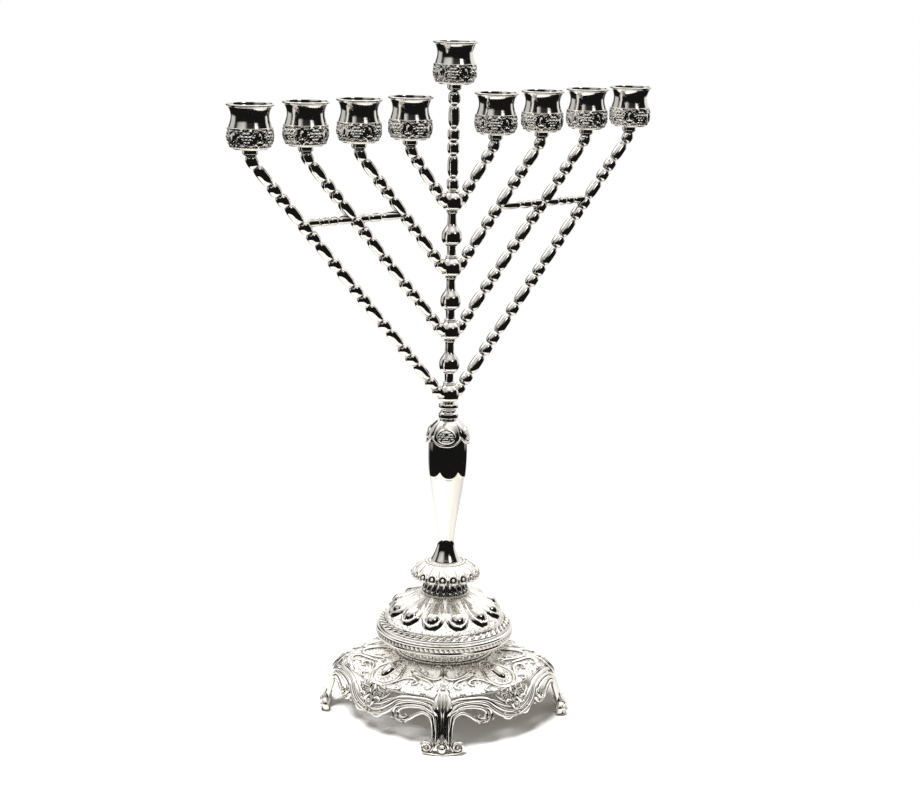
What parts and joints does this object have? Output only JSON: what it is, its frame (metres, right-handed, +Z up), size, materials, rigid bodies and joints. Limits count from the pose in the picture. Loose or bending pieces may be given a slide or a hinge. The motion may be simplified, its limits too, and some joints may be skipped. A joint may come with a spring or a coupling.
{
  "type": "menorah",
  "caption": "Silver-plated branched stand with a row of embossed cups on beaded arms, one cup raised in the middle, on a lobed stem and a domed, four-legged scroll base.",
  "frame": {"origin": "point on the floor under the central column", "axes": "+Z up along the column; the branches spread along X; the legs stand 38.3 degrees off the branch plane"},
  "size_m": [0.3208, 0.1422, 0.43],
  "materials": {
    "cast_silver": "polished silver plate over a casting, darkened in the recesses",
    "spun_silver": "bright polished silver plate over spun and embossed brass",
    "beaded_silver": "bright polished silver plate over turned beads",
    "plain_steel": "plain steel"
  },
  "bodies": {
    "base": {"base_skirt": "cast_silver", "dome_plate": "spun_silver", "egg_collar": "cast_silver", "knop": "cast_silver", "clamp_plate": "plain_steel"},
    "branch_frame": {"baluster": "spun_silver", "petal_cap": "cast_silver", "ringed_collar": "beaded_silver", "arm_pair_1": "beaded_silver", "arm_pair_2": "beaded_silver", "arm_pair_3": "beaded_silver", "arm_pair_4": "beaded_silver", "spacer_1": "beaded_silver", "spacer_2": "beaded_silver", "spacer_3": "beaded_silver", "shamash_stem": "beaded_silver", "tie_bar_left_outer": "beaded_silver", "tie_bar_left_inner": "beaded_silver", "tie_bar_right_outer": "beaded_silver", "tie_bar_right_inner": "beaded_silver", "tie_rod": "plain_steel", "rod_washer": "plain_steel", "rod_nut": "plain_steel", "cup_screws": "plain_steel"},
    "cup_1": {"cup_1": "spun_silver"},
    "cup_2": {"cup_2": "spun_silver"},
    "cup_3": {"cup_3": "spun_silver"},
    "cup_4": {"cup_4": "spun_silver"},
    "cup_5": {"cup_5": "spun_silver"},
    "cup_6": {"cup_6": "spun_silver"},
    "cup_7": {"cup_7": "spun_silver"},
    "cup_8": {"cup_8": "spun_silver"},
    "shamash_cup": {"shamash_cup": "spun_silver"}
  },
  "joints": [
    {"name": "frame_turn", "type": "hinge", "parent": "base", "child": "branch_frame", "pos_m": [0, 0, 0.101], "axis": [0, 0, 1], "continuous": true},
    {"name": "cup_1_turn", "type": "hinge", "parent": "branch_frame", "child": "cup_1", "pos_m": [-0.1466, 0, 0.3722], "axis": [0, 0, 1], "continuous": true},
    {"name": "cup_2_turn", "type": "hinge", "parent": "branch_frame", "child": "cup_2", "pos_m": [-0.1088, 0, 0.3722], "axis": [0, 0, 1], "continuous": true},
    {"name": "cup_3_turn", "type": "hinge", "parent": "branch_frame", "child": "cup_3", "pos_m": [-0.071, 0, 0.3722], "axis": [0, 0, 1], "continuous": true},
    {"name": "cup_4_turn", "type": "hinge", "parent": "branch_frame", "child": "cup_4", "pos_m": [-0.0332, 0, 0.3722], "axis": [0, 0, 1], "continuous": true},
    {"name": "cup_5_turn", "type": "hinge", "parent": "branch_frame", "child": "cup_5", "pos_m": [0.0332, 0, 0.3722], "axis": [0, 0, 1], "continuous": true},
    {"name": "cup_6_turn", "type": "hinge", "parent": "branch_frame", "child": "cup_6", "pos_m": [0.071, 0, 0.3722], "axis": [0, 0, 1], "continuous": true},
    {"name": "cup_7_turn", "type": "hinge", "parent": "branch_frame", "child": "cup_7", "pos_m": [0.1088, 0, 0.3722], "axis": [0, 0, 1], "continuous": true},
    {"name": "cup_8_turn", "type": "hinge", "parent": "branch_frame", "child": "cup_8", "pos_m": [0.1466, 0, 0.3722], "axis": [0, 0, 1], "continuous": true},
    {"name": "shamash_cup_turn", "type": "hinge", "parent": "branch_frame", "child": "shamash_cup", "pos_m": [0, 0, 0.4042], "axis": [0, 0, 1], "continuous": true}
  ]
}
